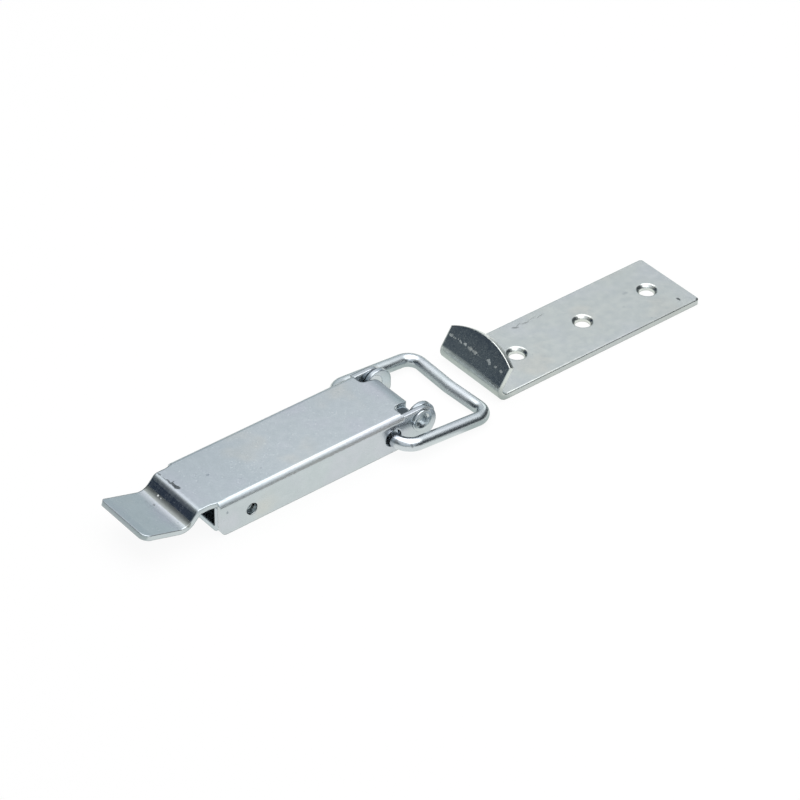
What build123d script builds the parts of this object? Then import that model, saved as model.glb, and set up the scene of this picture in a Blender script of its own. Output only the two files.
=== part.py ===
"""Toggle latch with its keeper plate, in millimetres.

+X runs from the latch towards the keeper, +Y to the left, +Z up.
The origin is the centre of the latch's row of screw holes, on the mounting plane.
"""
from build123d import *
import math
import os

os.makedirs("parts", exist_ok=True)

# Sheet and wire
LATCH_SHEET = 1.5
KEEPER_SHEET = 1.8
WIRE_DIA = 3.95

# Clearances
SIDE_GAP = 0.40
EAR_SIDE_GAP = 0.10
WIRE_HOLE_GAP = 0.05
PIVOT_GAP = 0.05
HEAD_GAP = 0.08
DIMPLE_GAP = 0.10
WIRE_SWEEP_GAP = 0.35

# Lever
LEVER_WIDTH = 23.5
LEVER_HEIGHT = 10.8
LEVER_BOTTOM = 0.3
LEVER_BEND_R = 1.85
LEVER_REAR_X = -34.9
FLANGE_CORNER_R = 2.0
LEVER_EAR_DROP = 0.3
LEVER_EAR_X = 32.4
NOTCH_X = 26.4
NOTCH_CORNER_R = 1.8
TONGUE_X = 31.75
TONGUE_SIDE_GAP = 1.75
TONGUE_CORNER_R = 1.0
TONGUE_DROOP_X = 28.9
TONGUE_DROOP = 0.95
TONGUE_DROOP_R = 6.0

# Finger tab at the back of the lever
SHOULDER_X = -32.0
SHOULDER_END_X = -37.0
SHOULDER_STEP_IN = 1.55
TAB_STEP_IN = 2.0
STEP_X = -40.5
STEP_BEND_R = 0.7
VALLEY_X = -44.4
VALLEY_DROP = 4.08
VALLEY_BEND_R = 3.5
TAB_TIP_X = -57.6
TAB_TIP_DROP = 0.1
TAB_LEFT_CORNER_R = 1.0
TAB_RIGHT_CORNER_R = 2.4

# Pivot and wire hole
PIVOT_X = 32.55
PIVOT_DROP = 4.05
WIRE_HOLE_DIA = 5.35
WIRE_HOLE_X = 22.8
WIRE_HOLE_RISE = 3.15
WIRE_PIN_FORWARD = 0.25

# Catch
CATCH_X = -24.8
CATCH_Z = 4.75
CATCH_HOLE_DIA = 3.6
CATCH_DIMPLE_DIA = 2.8

# Base plate
BASE_REAR_X = -34.5
BASE_EAR_X = 33.85
BASE_EAR_DROP = 0.88
BASE_EAR_R = 4.4
BASE_EAR_HEEL_R = 1.2
BASE_FRONT_X = 36.9
BASE_BEND_IN_R = 0.5
BASE_WALL_TOP_GAP = 0.6
BASE_WALL_CORNER_R = 1.0
SCREW_PITCH = 24.7
SCREW_HOLE_DIA = 4.5
SCREW_SINK_DIA = 6.2
BASE_SCREW_X = 0.0

# Rivets
RIVET_HEAD_R = 3.3
RIVET_HEAD_H = 0.62
RIVET_EDGE_R = 0.3
RIVET_SHANK_R = 2.2
RIVET_BORE_R = 1.7
RIVET_MOUTH_R = 2.3
RIVET_MOUTH_DEPTH = 0.5
RIVET_BORE_DEPTH = 1.3
RIVET_TAIL_R = 2.6
RIVET_TAIL_DEPTH = 0.4

# Wire bail
BAIL_ARM_GAP = 2.925
BAIL_LENGTH = 29.5
BAIL_BOW = 0.8
BAIL_BOW_R = 14.0
BAIL_CORNER_R = 4.0
BAIL_PIN_BEND_R = 4.7
BAIL_PIN_REACH = 0.75
BAIL_FLOOR_GAP = 0.005
BAIL_END_CHAMFER = 0.3

# Keeper plate
KEEPER_WIDTH = 25.0
KEEPER_FRONT_X = 59.15
KEEPER_REAR_X = 135.2
KEEPER_BEND_R = 3.4
KEEPER_LEAN_DEG = 33.0
LIP_SIDE_LENGTH = 6.2
LIP_MID_LENGTH = 9.6
KEEPER_CORNER_R = 1.0
KEEPER_EDGE_R = 0.35
KEEPER_LAST_HOLE_X = 126.1

# Values that follow from the sizes above
lever_half = LEVER_WIDTH / 2
lever_inner = lever_half - LATCH_SHEET
lever_under = LEVER_HEIGHT - LATCH_SHEET
wall_outer = lever_inner - SIDE_GAP
wall_inner = wall_outer - LATCH_SHEET
ear_outer = lever_inner - EAR_SIDE_GAP
ear_inner = ear_outer - LATCH_SHEET
wall_top = lever_under - BASE_WALL_TOP_GAP
base_bend_r = BASE_BEND_IN_R + LATCH_SHEET
notch_floor_z = base_bend_r
lever_ear_r = (LEVER_HEIGHT - LEVER_EAR_DROP - LEVER_BOTTOM) / 2
tongue_half = wall_inner - TONGUE_SIDE_GAP
shoulder_half = lever_half - SHOULDER_STEP_IN
tab_half = lever_half - TAB_STEP_IN
valley_z = LEVER_HEIGHT - VALLEY_DROP
tab_tip_z = LEVER_HEIGHT - TAB_TIP_DROP
pivot_z = LEVER_HEIGHT - PIVOT_DROP
base_ear_z = pivot_z - BASE_EAR_DROP
wire_r = WIRE_DIA / 2
wire_play = WIRE_HOLE_DIA / 2 - wire_r - WIRE_HOLE_GAP
wire_hole_z = notch_floor_z + WIRE_HOLE_RISE
pin_x = WIRE_HOLE_X + WIRE_PIN_FORWARD
pin_z = wire_hole_z - math.sqrt(wire_play ** 2 - WIRE_PIN_FORWARD ** 2)
pin_reach = math.hypot(PIVOT_X - pin_x, pivot_z - pin_z)
bail_half = lever_half + BAIL_ARM_GAP + wire_r
bail_pin_end = wall_inner - BAIL_PIN_REACH
bail_drop = math.degrees(math.asin((pin_z - wire_r - BAIL_FLOOR_GAP) / BAIL_LENGTH))
screw_xs = [BASE_SCREW_X - SCREW_PITCH, BASE_SCREW_X, BASE_SCREW_X + SCREW_PITCH]


def across(x, z, radius, y_from, y_to):
    """A cylinder along Y between two widths."""
    return Pos(x, (y_from + y_to) / 2, z) * Rot(90, 0, 0) * Cylinder(radius, abs(y_to - y_from))


def side_plate(sketch, y_from, y_to):
    """A sketch drawn as X and Z, given thickness along Y."""
    solid = extrude(Plane.XZ * sketch, amount=-(y_to - y_from))
    return Pos(0, y_from, 0) * solid


def mirrored(solid):
    """The same solid on the other side of the middle plane."""
    return mirror(solid, about=Plane.XZ)


def rounded_line(points, bend_radii):
    """The edges of a line through the points, each inner corner rounded to its radius."""
    edges = []
    last = Vector(*points[0])
    for i, radius in enumerate(bend_radii, start=1):
        corner_point = Vector(*points[i])
        way_in = (corner_point - Vector(*points[i - 1])).normalized()
        way_out = (Vector(*points[i + 1]) - corner_point).normalized()
        turn = math.acos(max(-1.0, min(1.0, way_in.dot(way_out))))
        cut_back = radius * math.tan(turn / 2)
        start = corner_point - way_in * cut_back
        end = corner_point + way_out * cut_back
        inward = (way_out - way_in).normalized()
        middle = corner_point + inward * (radius / math.cos(turn / 2) - radius)
        edges.append(Line(last, start))
        edges.append(ThreePointArc(start, middle, end))
        last = end
    edges.append(Line(last, Vector(*points[-1])))
    return edges


def bent_strip(points, inside_radii, sheet, side):
    """Side view of a bent sheet. The points follow one face, and the sheet lies on its left (1) or right (-1)."""
    steps = [(Vector(*b) - Vector(*a)).normalized() for a, b in zip(points, points[1:])]
    normals = [Vector(-d.Y, d.X) * side for d in steps]
    face_radii = []
    back_radii = []
    back = [Vector(*points[0]) + normals[0] * sheet]
    for i, inside_r in enumerate(inside_radii):
        turn_sign = (steps[i].X * steps[i + 1].Y - steps[i].Y * steps[i + 1].X) * side
        face_radii.append(inside_r + sheet if turn_sign > 0 else inside_r)
        back_radii.append(inside_r if turn_sign > 0 else inside_r + sheet)
        mitre = (normals[i] + normals[i + 1]) * (sheet / (1 + normals[i].dot(normals[i + 1])))
        back.append(Vector(*points[i + 1]) + mitre)
    back.append(Vector(*points[-1]) + normals[-1] * sheet)
    face_edges = rounded_line(points, face_radii)
    back_edges = rounded_line([(p.X, p.Y) for p in back], back_radii)
    ends = [Line(Vector(*points[0]), back[0]), Line(Vector(*points[-1]), back[-1])]
    return make_face(face_edges + back_edges + ends)


def channel(outer_half, z_low, z_high, bend_r, opens_down):
    """Section of a bent channel in the YZ plane, open at the bottom or at the top."""
    inner_half = outer_half - LATCH_SHEET
    outer = Pos(0, (z_low + z_high) / 2) * Rectangle(outer_half * 2, z_high - z_low)
    if opens_down:
        hollow_low = z_low - 1
        hollow_high = z_high - LATCH_SHEET
        bend_z = z_high
        inner_z = hollow_high
    else:
        hollow_low = z_low + LATCH_SHEET
        hollow_high = z_high + 1
        bend_z = z_low
        inner_z = hollow_low
    hollow = Pos(0, (hollow_low + hollow_high) / 2) * Rectangle(inner_half * 2, hollow_high - hollow_low)
    bent = [v for v in outer.vertices() if abs(v.Y - bend_z) < 0.01]
    outer = fillet(bent, bend_r)
    inside = [v for v in hollow.vertices() if abs(v.Y - inner_z) < 0.01]
    hollow = fillet(inside, bend_r - LATCH_SHEET)
    return outer - hollow


def countersunk(x, top_z, sheet):
    """A countersunk screw hole, as the solid to take away."""
    depth = (SCREW_SINK_DIA - SCREW_HOLE_DIA) / 2
    hole = Pos(x, 0, top_z - sheet / 2) * Cylinder(SCREW_HOLE_DIA / 2, sheet + 2)
    cone = Pos(x, 0, top_z - depth / 2) * Cone(SCREW_HOLE_DIA / 2, SCREW_SINK_DIA / 2, depth)
    lead = Pos(x, 0, top_z + 0.5) * Cylinder(SCREW_SINK_DIA / 2, 1)
    return hole + cone + lead


# Base plate, one pressed channel: long low walls behind the gap for the wire, set-out ears in front of it
sweep_out = pin_reach + wire_r + WIRE_SWEEP_GAP
gap_rear_x = PIVOT_X - sweep_out
ear_rear_x = BASE_EAR_X - BASE_EAR_R
ear_front_x = BASE_EAR_X + BASE_EAR_R
gap_middle_x = (gap_rear_x + ear_rear_x) / 2
wall_section = channel(wall_outer, 0, wall_top, base_bend_r, False)
wall_channel = Pos(BASE_REAR_X, 0, 0) * extrude(Plane.YZ * wall_section, amount=gap_middle_x - BASE_REAR_X)
ear_section = channel(ear_outer, 0, base_ear_z + BASE_EAR_R, base_bend_r, False)
ear_channel = Pos(gap_middle_x, 0, 0) * extrude(Plane.YZ * ear_section, amount=ear_front_x - gap_middle_x)
base_plate = wall_channel + ear_channel

# The walls' outline from the side
long_wall = Pos((BASE_REAR_X + gap_rear_x) / 2, (notch_floor_z + wall_top) / 2) * Rectangle(
    gap_rear_x - BASE_REAR_X, wall_top - notch_floor_z)
wall_tops = [v for v in long_wall.vertices() if abs(v.Y - wall_top) < 0.01]
long_wall = fillet(wall_tops, BASE_WALL_CORNER_R)
ear_post = Pos(BASE_EAR_X, (notch_floor_z + base_ear_z) / 2) * Rectangle(
    BASE_EAR_R * 2, base_ear_z - notch_floor_z)
heel = [v for v in ear_post.vertices() if v.X > BASE_EAR_X and abs(v.Y - notch_floor_z) < 0.01]
ear_post = fillet(heel, BASE_EAR_HEEL_R)
ear_disc = Pos(BASE_EAR_X, base_ear_z) * Circle(BASE_EAR_R)
floor_band = Pos((BASE_REAR_X + BASE_FRONT_X) / 2, notch_floor_z / 2) * Rectangle(
    BASE_FRONT_X - BASE_REAR_X, notch_floor_z)
wall_outline = long_wall + ear_post + ear_disc + floor_band
base_plate = base_plate & side_plate(wall_outline, -ear_outer - 1, ear_outer + 1)
for screw_x in screw_xs:
    base_plate -= countersunk(screw_x, LATCH_SHEET, LATCH_SHEET)

# Rivet holes in the ears, each countersunk on the inside for the rivet's flush tail
tail_seat = across(PIVOT_X, pivot_z, RIVET_SHANK_R, ear_inner - 1, ear_outer + 1)
tail_seat += Pos(PIVOT_X, ear_inner + RIVET_TAIL_DEPTH / 2, pivot_z) * Rot(90, 0, 0) * Cone(
    RIVET_SHANK_R, RIVET_TAIL_R, RIVET_TAIL_DEPTH)
base_plate = base_plate - tail_seat - mirrored(tail_seat)

# Catch dimple pressed out of each wall, with its hollow behind
dimple_height = SIDE_GAP - DIMPLE_GAP
dimple_r = CATCH_DIMPLE_DIA / 2
dimple_ball_r = (dimple_r ** 2 + dimple_height ** 2) / (2 * dimple_height)
dimple_centre = wall_outer + dimple_height - dimple_ball_r
dimple_out = Pos(CATCH_X, dimple_centre, CATCH_Z) * Sphere(dimple_ball_r)
dimple_keep = across(CATCH_X, CATCH_Z, dimple_r + 1, wall_outer - 0.3, wall_outer + 1)
dimple_out = dimple_out & dimple_keep
dimple_in = Pos(CATCH_X, dimple_centre - LATCH_SHEET, CATCH_Z) * Sphere(dimple_ball_r)
dimple_hollow = across(CATCH_X, CATCH_Z, dimple_r + 1, wall_inner - 1, wall_inner + 1)
dimple_in = dimple_in & dimple_hollow
base_plate = base_plate + dimple_out + mirrored(dimple_out)
base_plate = base_plate - dimple_in - mirrored(dimple_in)

# Lever, one pressed channel with ears, tongue and finger tab
lever_section = channel(lever_half, LEVER_BOTTOM, LEVER_HEIGHT, LEVER_BEND_R, True)
lever = Pos(LEVER_REAR_X, 0, 0) * extrude(Plane.YZ * lever_section, amount=NOTCH_X - LEVER_REAR_X)
corner = Pos(LEVER_REAR_X, LEVER_BOTTOM) * Rectangle(
    FLANGE_CORNER_R, FLANGE_CORNER_R, align=(Align.MIN, Align.MIN))
corner -= Pos(LEVER_REAR_X + FLANGE_CORNER_R, LEVER_BOTTOM + FLANGE_CORNER_R) * Circle(FLANGE_CORNER_R)
lever -= side_plate(corner, -lever_half - 1, lever_half + 1)

# Front ears
ear_top = LEVER_BOTTOM + lever_ear_r * 2
ear_flat = Pos((NOTCH_X + LEVER_EAR_X) / 2, (LEVER_BOTTOM + ear_top) / 2) * Rectangle(
    LEVER_EAR_X - NOTCH_X, ear_top - LEVER_BOTTOM)
ear_round = Pos(LEVER_EAR_X, LEVER_BOTTOM + lever_ear_r) * Circle(lever_ear_r)
ear_plate = side_plate(ear_flat + ear_round, lever_inner, lever_half)
lever = lever + ear_plate + mirrored(ear_plate)

# Tongue between the two front notches, its front edge bent slightly down
droop_slope = TONGUE_DROOP / (TONGUE_X - TONGUE_DROOP_X)
tongue_side = bent_strip(
    [(TONGUE_X + 1, LEVER_HEIGHT - TONGUE_DROOP - droop_slope), (TONGUE_DROOP_X, LEVER_HEIGHT),
     (NOTCH_X - 1, LEVER_HEIGHT)], [TONGUE_DROOP_R], LATCH_SHEET, 1)
tongue = side_plate(tongue_side, -lever_inner, lever_inner)
tongue_plan = make_face(Polyline(
    (NOTCH_X - 2, -lever_inner), (NOTCH_X, -lever_inner), (NOTCH_X, -tongue_half), (TONGUE_X, -tongue_half),
    (TONGUE_X, tongue_half), (NOTCH_X, tongue_half), (NOTCH_X, lever_inner), (NOTCH_X - 2, lever_inner),
    close=True))
roots = [v for v in tongue_plan.vertices() if abs(v.X - NOTCH_X) < 0.01 and abs(abs(v.Y) - tongue_half) < 0.01]
tongue_plan = fillet(roots, NOTCH_CORNER_R)
tips = [v for v in tongue_plan.vertices() if abs(v.X - TONGUE_X) < 0.01]
tongue_plan = fillet(tips, TONGUE_CORNER_R)
tongue &= extrude(tongue_plan, amount=LEVER_HEIGHT * 2)
lever += tongue

# Finger tab: a bent strip seen from the side, cut to its outline from above
tab_side = bent_strip(
    [(SHOULDER_X, LEVER_HEIGHT), (STEP_X, LEVER_HEIGHT), (VALLEY_X, valley_z), (TAB_TIP_X, tab_tip_z)],
    [STEP_BEND_R, VALLEY_BEND_R], LATCH_SHEET, 1)
tab = side_plate(tab_side, -lever_inner, lever_inner)
tab_plan = make_face(Polyline(
    (SHOULDER_X + 1, -lever_inner), (LEVER_REAR_X, -lever_inner), (LEVER_REAR_X, -shoulder_half),
    (SHOULDER_END_X, -tab_half), (TAB_TIP_X - 3, -tab_half), (TAB_TIP_X - 3, tab_half),
    (SHOULDER_END_X, tab_half), (LEVER_REAR_X, shoulder_half), (LEVER_REAR_X, lever_inner),
    (SHOULDER_X + 1, lever_inner), close=True))
tab &= extrude(tab_plan, amount=LEVER_HEIGHT * 2)
for tip_y, corner_r in [(tab_half, TAB_LEFT_CORNER_R), (-tab_half, TAB_RIGHT_CORNER_R)]:
    tab_tip = [e for e in tab.edges() if e.length < LATCH_SHEET * 1.2
               and e.center().X < TAB_TIP_X + 1 and abs(e.center().Y - tip_y) < 0.01]
    tab = fillet(tab_tip, corner_r)
lever += tab

# Holes in the flanges
lever_holes = [
    (PIVOT_X, pivot_z, RIVET_SHANK_R + PIVOT_GAP),
    (WIRE_HOLE_X, wire_hole_z, WIRE_HOLE_DIA / 2),
    (CATCH_X, CATCH_Z, CATCH_HOLE_DIA / 2)]
for hole_x, hole_z, hole_r in lever_holes:
    hole = across(hole_x, hole_z, hole_r, lever_inner - 0.5, lever_half + 0.5)
    lever = lever - hole - mirrored(hole)

# Hollow rivet, turned about the pivot line: rolled head outside, flared tail flush with the base's ear
head_in = lever_half + HEAD_GAP
head_out = head_in + RIVET_HEAD_H
rivet_half = make_face(Polyline(
    (0, head_out - RIVET_BORE_DEPTH), (RIVET_BORE_R, head_out - RIVET_BORE_DEPTH),
    (RIVET_BORE_R, head_out - RIVET_MOUTH_DEPTH), (RIVET_MOUTH_R, head_out), (RIVET_HEAD_R, head_out),
    (RIVET_HEAD_R, head_in), (RIVET_SHANK_R, head_in),
    (RIVET_SHANK_R, ear_inner + RIVET_TAIL_DEPTH), (RIVET_TAIL_R, ear_inner), (0, ear_inner), close=True))
rim = [v for v in rivet_half.vertices() if abs(v.Y - head_out) < 0.01]
rivet_half = fillet(rim, RIVET_EDGE_R)
pivot_line = Axis((PIVOT_X, 0, pivot_z), (0, 1, 0))
pivot_rivet_left = revolve(Pos(PIVOT_X, 0, pivot_z) * rivet_half, pivot_line, 360)
pivot_rivet_right = mirrored(pivot_rivet_left)

# Wire bail, swept flat and then dropped about its pins
bail_points = [
    (0, bail_pin_end), (0, bail_half), (BAIL_LENGTH, bail_half), (BAIL_LENGTH - BAIL_BOW, 0),
    (BAIL_LENGTH, -bail_half), (0, -bail_half), (0, -bail_pin_end)]
bail_bends = [BAIL_PIN_BEND_R, BAIL_CORNER_R, BAIL_BOW_R, BAIL_CORNER_R, BAIL_PIN_BEND_R]
bail_path = Wire(rounded_line(bail_points, bail_bends))
wire_section = Plane(origin=(0, bail_pin_end, 0), z_dir=(0, 1, 0)) * Circle(wire_r)
bail = sweep(wire_section, path=bail_path)
wire_ends = [e for e in bail.edges() if e.geom_type == GeomType.CIRCLE
             and abs(abs(e.center().Y) - bail_pin_end) < 0.01 and abs(e.center().X) < 0.01]
bail = chamfer(wire_ends, BAIL_END_CHAMFER)
bail = Pos(pin_x, 0, pin_z) * Rot(0, bail_drop, 0) * bail

# Keeper plate: a strip bent up into a hook that leans back over the plate
lean = math.radians(KEEPER_LEAN_DEG)
bend_centre_x = KEEPER_FRONT_X + KEEPER_BEND_R
corner_reach = KEEPER_BEND_R * math.tan((math.pi / 2 + lean) / 2)
corner_x = bend_centre_x - corner_reach
lip_reach = corner_reach + LIP_MID_LENGTH + 1
lip_end = (corner_x + lip_reach * math.sin(lean), lip_reach * math.cos(lean))
keeper_side = bent_strip([(KEEPER_REAR_X, 0), (corner_x, 0), lip_end],
                         [KEEPER_BEND_R - KEEPER_SHEET], KEEPER_SHEET, -1)
keeper_plate = side_plate(keeper_side, -KEEPER_WIDTH / 2, KEEPER_WIDTH / 2)

# Arched top edge of the hook, cut square through the lip
arch_rise = LIP_MID_LENGTH - LIP_SIDE_LENGTH
arch_r = (arch_rise ** 2 + (KEEPER_WIDTH / 2) ** 2) / (2 * arch_rise)
lip_face = Plane(
    origin=(bend_centre_x - KEEPER_BEND_R * math.cos(lean), 0, KEEPER_BEND_R + KEEPER_BEND_R * math.sin(lean)),
    x_dir=(0, 1, 0), z_dir=(math.cos(lean), 0, -math.sin(lean)))
arch_cut = Pos(0, LIP_MID_LENGTH) * Rectangle(KEEPER_WIDTH + 2, LIP_MID_LENGTH)
arch_cut -= Pos(0, LIP_MID_LENGTH - arch_r) * Circle(arch_r)
keeper_plate -= lip_face * Pos(0, 0, -1) * extrude(arch_cut, amount=KEEPER_SHEET + 2)

# Rounded far corners and a softened top edge, then the screw holes
far_corners = [e for e in keeper_plate.edges().filter_by(Axis.Z) if e.center().X > KEEPER_REAR_X - 0.1]
keeper_plate = fillet(far_corners, KEEPER_CORNER_R)
plate_top = [f for f in keeper_plate.faces().filter_by(Axis.Z) if abs(f.center().Z - KEEPER_SHEET) < 0.01][0]
top_edges = [e for e in plate_top.edges() if e.center().X > bend_centre_x + 1]
keeper_plate = fillet(top_edges, KEEPER_EDGE_R)
keeper_hole_xs = [KEEPER_LAST_HOLE_X - SCREW_PITCH * 2, KEEPER_LAST_HOLE_X - SCREW_PITCH, KEEPER_LAST_HOLE_X]
for hole_x in keeper_hole_xs:
    keeper_plate -= countersunk(hole_x, KEEPER_SHEET, KEEPER_SHEET)

export_step(base_plate, "parts/base_plate.step")
export_step(lever, "parts/lever.step")
export_step(pivot_rivet_left, "parts/pivot_rivet_left.step")
export_step(pivot_rivet_right, "parts/pivot_rivet_right.step")
export_step(bail, "parts/bail.step")
export_step(keeper_plate, "parts/keeper_plate.step")
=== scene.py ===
# %% [markdown]
# A toggle latch in zinc-plated steel
#
# A latch like this pulls a lid shut. Its wire hooks over the keeper, and its lever then folds down past
# the point where it would spring back. Here it is closed and lies flat: a folded lever over a base plate,
# a bent wire bail in front of it, and a separate keeper plate with a hook.
#
# This lesson dresses a finished CAD model. Every shape is already right, so the work here is light,
# steel and wear. Lengths are in metres, as Blender has them.

import math
import random

import bpy
from mathutils import Matrix, Vector


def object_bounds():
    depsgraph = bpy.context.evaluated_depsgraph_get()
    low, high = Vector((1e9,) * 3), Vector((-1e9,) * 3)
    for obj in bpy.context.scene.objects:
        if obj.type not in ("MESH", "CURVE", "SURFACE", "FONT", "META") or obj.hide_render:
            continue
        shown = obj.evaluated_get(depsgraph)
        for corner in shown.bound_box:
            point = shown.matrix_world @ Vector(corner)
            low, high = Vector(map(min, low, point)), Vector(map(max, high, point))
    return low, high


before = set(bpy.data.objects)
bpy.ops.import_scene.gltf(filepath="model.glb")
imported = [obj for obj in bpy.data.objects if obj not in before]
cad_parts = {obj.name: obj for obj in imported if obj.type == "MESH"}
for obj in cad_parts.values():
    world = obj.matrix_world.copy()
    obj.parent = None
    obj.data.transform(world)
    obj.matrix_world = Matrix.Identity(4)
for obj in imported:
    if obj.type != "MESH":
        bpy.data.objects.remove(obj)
cad_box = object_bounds()
scene = bpy.context.scene
MM = 0.001

print("pieces of the model:", ", ".join(sorted(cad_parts)))
print("model size in mm:", [round(side / MM, 1) for side in cad_box[1] - cad_box[0]])

# %% [markdown]
# Colours are easiest to read as the hex values that a paint program shows. Blender's shaders want linear
# light instead. One function does that step for every colour in the lesson.

# %% Turn a hex colour into linear light
def linear(hex_colour):
    """A colour such as "#B8C0C8" as linear red, green, blue and 1 for opaque."""
    channels = []
    for place in (1, 3, 5):
        value = int(hex_colour[place:place + 2], 16) / 255
        if value <= 0.04045:
            channels.append(value / 12.92)
        else:
            channels.append(((value + 0.055) / 1.055) ** 2.4)
    return (*channels, 1.0)


print("mid grey #808080 is", round(linear("#808080")[0], 3), "in linear light")

# %% [markdown]
# Materials are graphs of nodes. One small function adds a node, sets it up and wires its inputs, so a
# graph reads from top to bottom like a recipe. An input is given a number, a colour or another output.

# %% Add one node with its settings and links
def add_node(tree, kind, settings=None, inputs=None):
    """Adds a node of the given kind. settings go on the node, and inputs on its sockets by name or number."""
    node = tree.nodes.new(kind)
    for name, value in (settings or {}).items():
        setattr(node, name, value)
    for name, value in (inputs or {}).items():
        if isinstance(value, bpy.types.NodeSocket):
            tree.links.new(value, node.inputs[name])
        else:
            node.inputs[name].default_value = value
    return node


# %% [markdown]
# The photograph was taken with a long lens from about 38 degrees above the table. A shorter lens nearer
# by would fill the picture just as well, but a long one keeps the far keeper almost as large as the near
# lever. The camera looks at one point on the table, and a small roll levels the picture the way the
# photographer held it.

# %% Camera
FRAME_WIDTH_PX = 800
FOCAL_LENGTH_PX = 3245.8
SENSOR_WIDTH_MM = 36.0
CAMERA_DISTANCE = 895.2 * MM
CAMERA_AZIMUTH = math.radians(-39.629)
CAMERA_ELEVATION = math.radians(37.740)
CAMERA_ROLL = math.radians(1.003)
CAMERA_TARGET = Vector((38.91, 5.30, 0.0)) * MM

toward_camera = Vector((
    math.sin(CAMERA_AZIMUTH) * math.cos(CAMERA_ELEVATION),
    -math.cos(CAMERA_AZIMUTH) * math.cos(CAMERA_ELEVATION),
    math.sin(CAMERA_ELEVATION),
))
picture_right = Vector((math.cos(CAMERA_AZIMUTH), math.sin(CAMERA_AZIMUTH), 0.0))
picture_up = toward_camera.cross(picture_right)
roll = Matrix.Rotation(CAMERA_ROLL, 3, toward_camera)
picture_right = roll @ picture_right
picture_up = roll @ picture_up

camera_data = bpy.data.cameras.new("product_camera")
camera_data.sensor_width = SENSOR_WIDTH_MM
camera_data.lens = FOCAL_LENGTH_PX / FRAME_WIDTH_PX * SENSOR_WIDTH_MM
camera = bpy.data.objects.new("product_camera", camera_data)
camera_turn = Matrix((picture_right, picture_up, toward_camera)).transposed()
camera.matrix_world = camera_turn.to_4x4()
camera.location = CAMERA_TARGET + toward_camera * CAMERA_DISTANCE
scene.collection.objects.link(camera)
scene.camera = camera
scene.view_settings.view_transform = "Standard"

print("lens in mm:", round(camera_data.lens, 1))

# %% [markdown]
# Directions in the studio are easier to say as the photographer sees them: ahead is away from the
# camera along the table, and side is to the right of the picture.

# %% Directions in the studio
studio_side = Vector((math.cos(CAMERA_AZIMUTH), math.sin(CAMERA_AZIMUTH), 0.0))
studio_ahead = Vector((-math.sin(CAMERA_AZIMUTH), math.cos(CAMERA_AZIMUTH), 0.0))
studio_up = Vector((0.0, 0.0, 1.0))
studio_middle = Vector((39.0 * MM, 0.0, 0.0))


def studio_place(side, ahead, up):
    """A point in the studio, in metres from the middle of the latch."""
    return studio_middle + studio_side * side + studio_ahead * ahead + studio_up * up


print("one metre ahead of the latch is", [round(part, 2) for part in studio_place(0.0, 1.0, 0.0)])

# %% [markdown]
# Several things in the studio show only between two places: the shade on the table, the face of the
# softbox, the dark cards. They share one mask, a band that fades in and out at its ends.

# %% A band with soft ends
def band(tree, value, start, end, edge):
    """1 between start and end, and 0 outside them. It fades over the width of edge, inside both ends."""
    rising = add_node(tree, "ShaderNodeMapRange", {"interpolation_type": "SMOOTHSTEP"},
                      {"Value": value, "From Min": start, "From Max": start + edge})
    falling = add_node(tree, "ShaderNodeMapRange", {"interpolation_type": "SMOOTHSTEP"},
                       {"Value": value, "From Min": end, "From Max": end - edge})
    overlap = add_node(tree, "ShaderNodeMath", {"operation": "MULTIPLY"},
                       {0: rising.outputs[0], 1: falling.outputs[0]})
    return overlap.outputs[0]


# %% [markdown]
# The table is a white sheet that the camera sees as plain white, with only a trace of shadow under the
# steel. A stronger lamp would also turn it white, but it would bleach the steel. Light Path tells which
# kind of ray arrives, and that is kinder: camera and mirror rays see a white glow on top of the paper's
# own shading, and all other rays see plain paper, so the glow never lights the object.
#
# In front of the hook, and beyond the tab, the paper lies in shade. The mirror picture of those dim
# places gives the bend under the hook, the wire's underside and the tab's edge their grey-green tone.
# The rest of the paper is a little over 1 in the mirror, because the flanges show it as bright metal.

# %% Paper of the table
PAPER_GLOW = 0.92
PAPER_COLOUR = linear("#505050")
PAPER_IN_STEEL = (1.09, 1.11, 1.07, 1.0)
DIM_PAPER_IN_STEEL = linear("#D2DAD6")
DIM_AT_HOOK_FROM = 41.0 * MM
DIM_AT_HOOK_TO = 66.0 * MM
DIM_BEYOND_TAB = -62.0 * MM
DIM_EDGE = 5.0 * MM

paper = bpy.data.materials.new("white_studio_paper")
paper.use_nodes = True
tree = paper.node_tree
tree.nodes.clear()
ray = add_node(tree, "ShaderNodeLightPath")
seen_or_glossy = add_node(tree, "ShaderNodeMath", {"operation": "MAXIMUM"},
                          {0: ray.outputs["Is Camera Ray"], 1: ray.outputs["Is Glossy Ray"]})
white_to = add_node(tree, "ShaderNodeMath", {"operation": "MAXIMUM"},
                    {0: seen_or_glossy.outputs[0], 1: ray.outputs["Is Transmission Ray"]})
paper_place = add_node(tree, "ShaderNodeSeparateXYZ", None,
                       {0: add_node(tree, "ShaderNodeTexCoord").outputs["Object"]})
before_hook = band(tree, paper_place.outputs["X"], DIM_AT_HOOK_FROM, DIM_AT_HOOK_TO, DIM_EDGE)
beyond_tab = add_node(tree, "ShaderNodeMapRange", {"interpolation_type": "SMOOTHSTEP"},
                      {"Value": paper_place.outputs["X"], "From Min": DIM_BEYOND_TAB,
                       "From Max": DIM_BEYOND_TAB - DIM_EDGE})
dim_part = add_node(tree, "ShaderNodeMath", {"operation": "ADD"},
                    {0: before_hook, 1: beyond_tab.outputs[0]})
steel_sees = add_node(tree, "ShaderNodeMix", {"data_type": "RGBA"},
                      {0: dim_part.outputs[0], 6: PAPER_IN_STEEL, 7: DIM_PAPER_IN_STEEL})
glow_colour = add_node(tree, "ShaderNodeMix", {"data_type": "RGBA"},
                       {0: ray.outputs["Is Glossy Ray"], 6: (1, 1, 1, 1), 7: steel_sees.outputs[2]})
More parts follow.
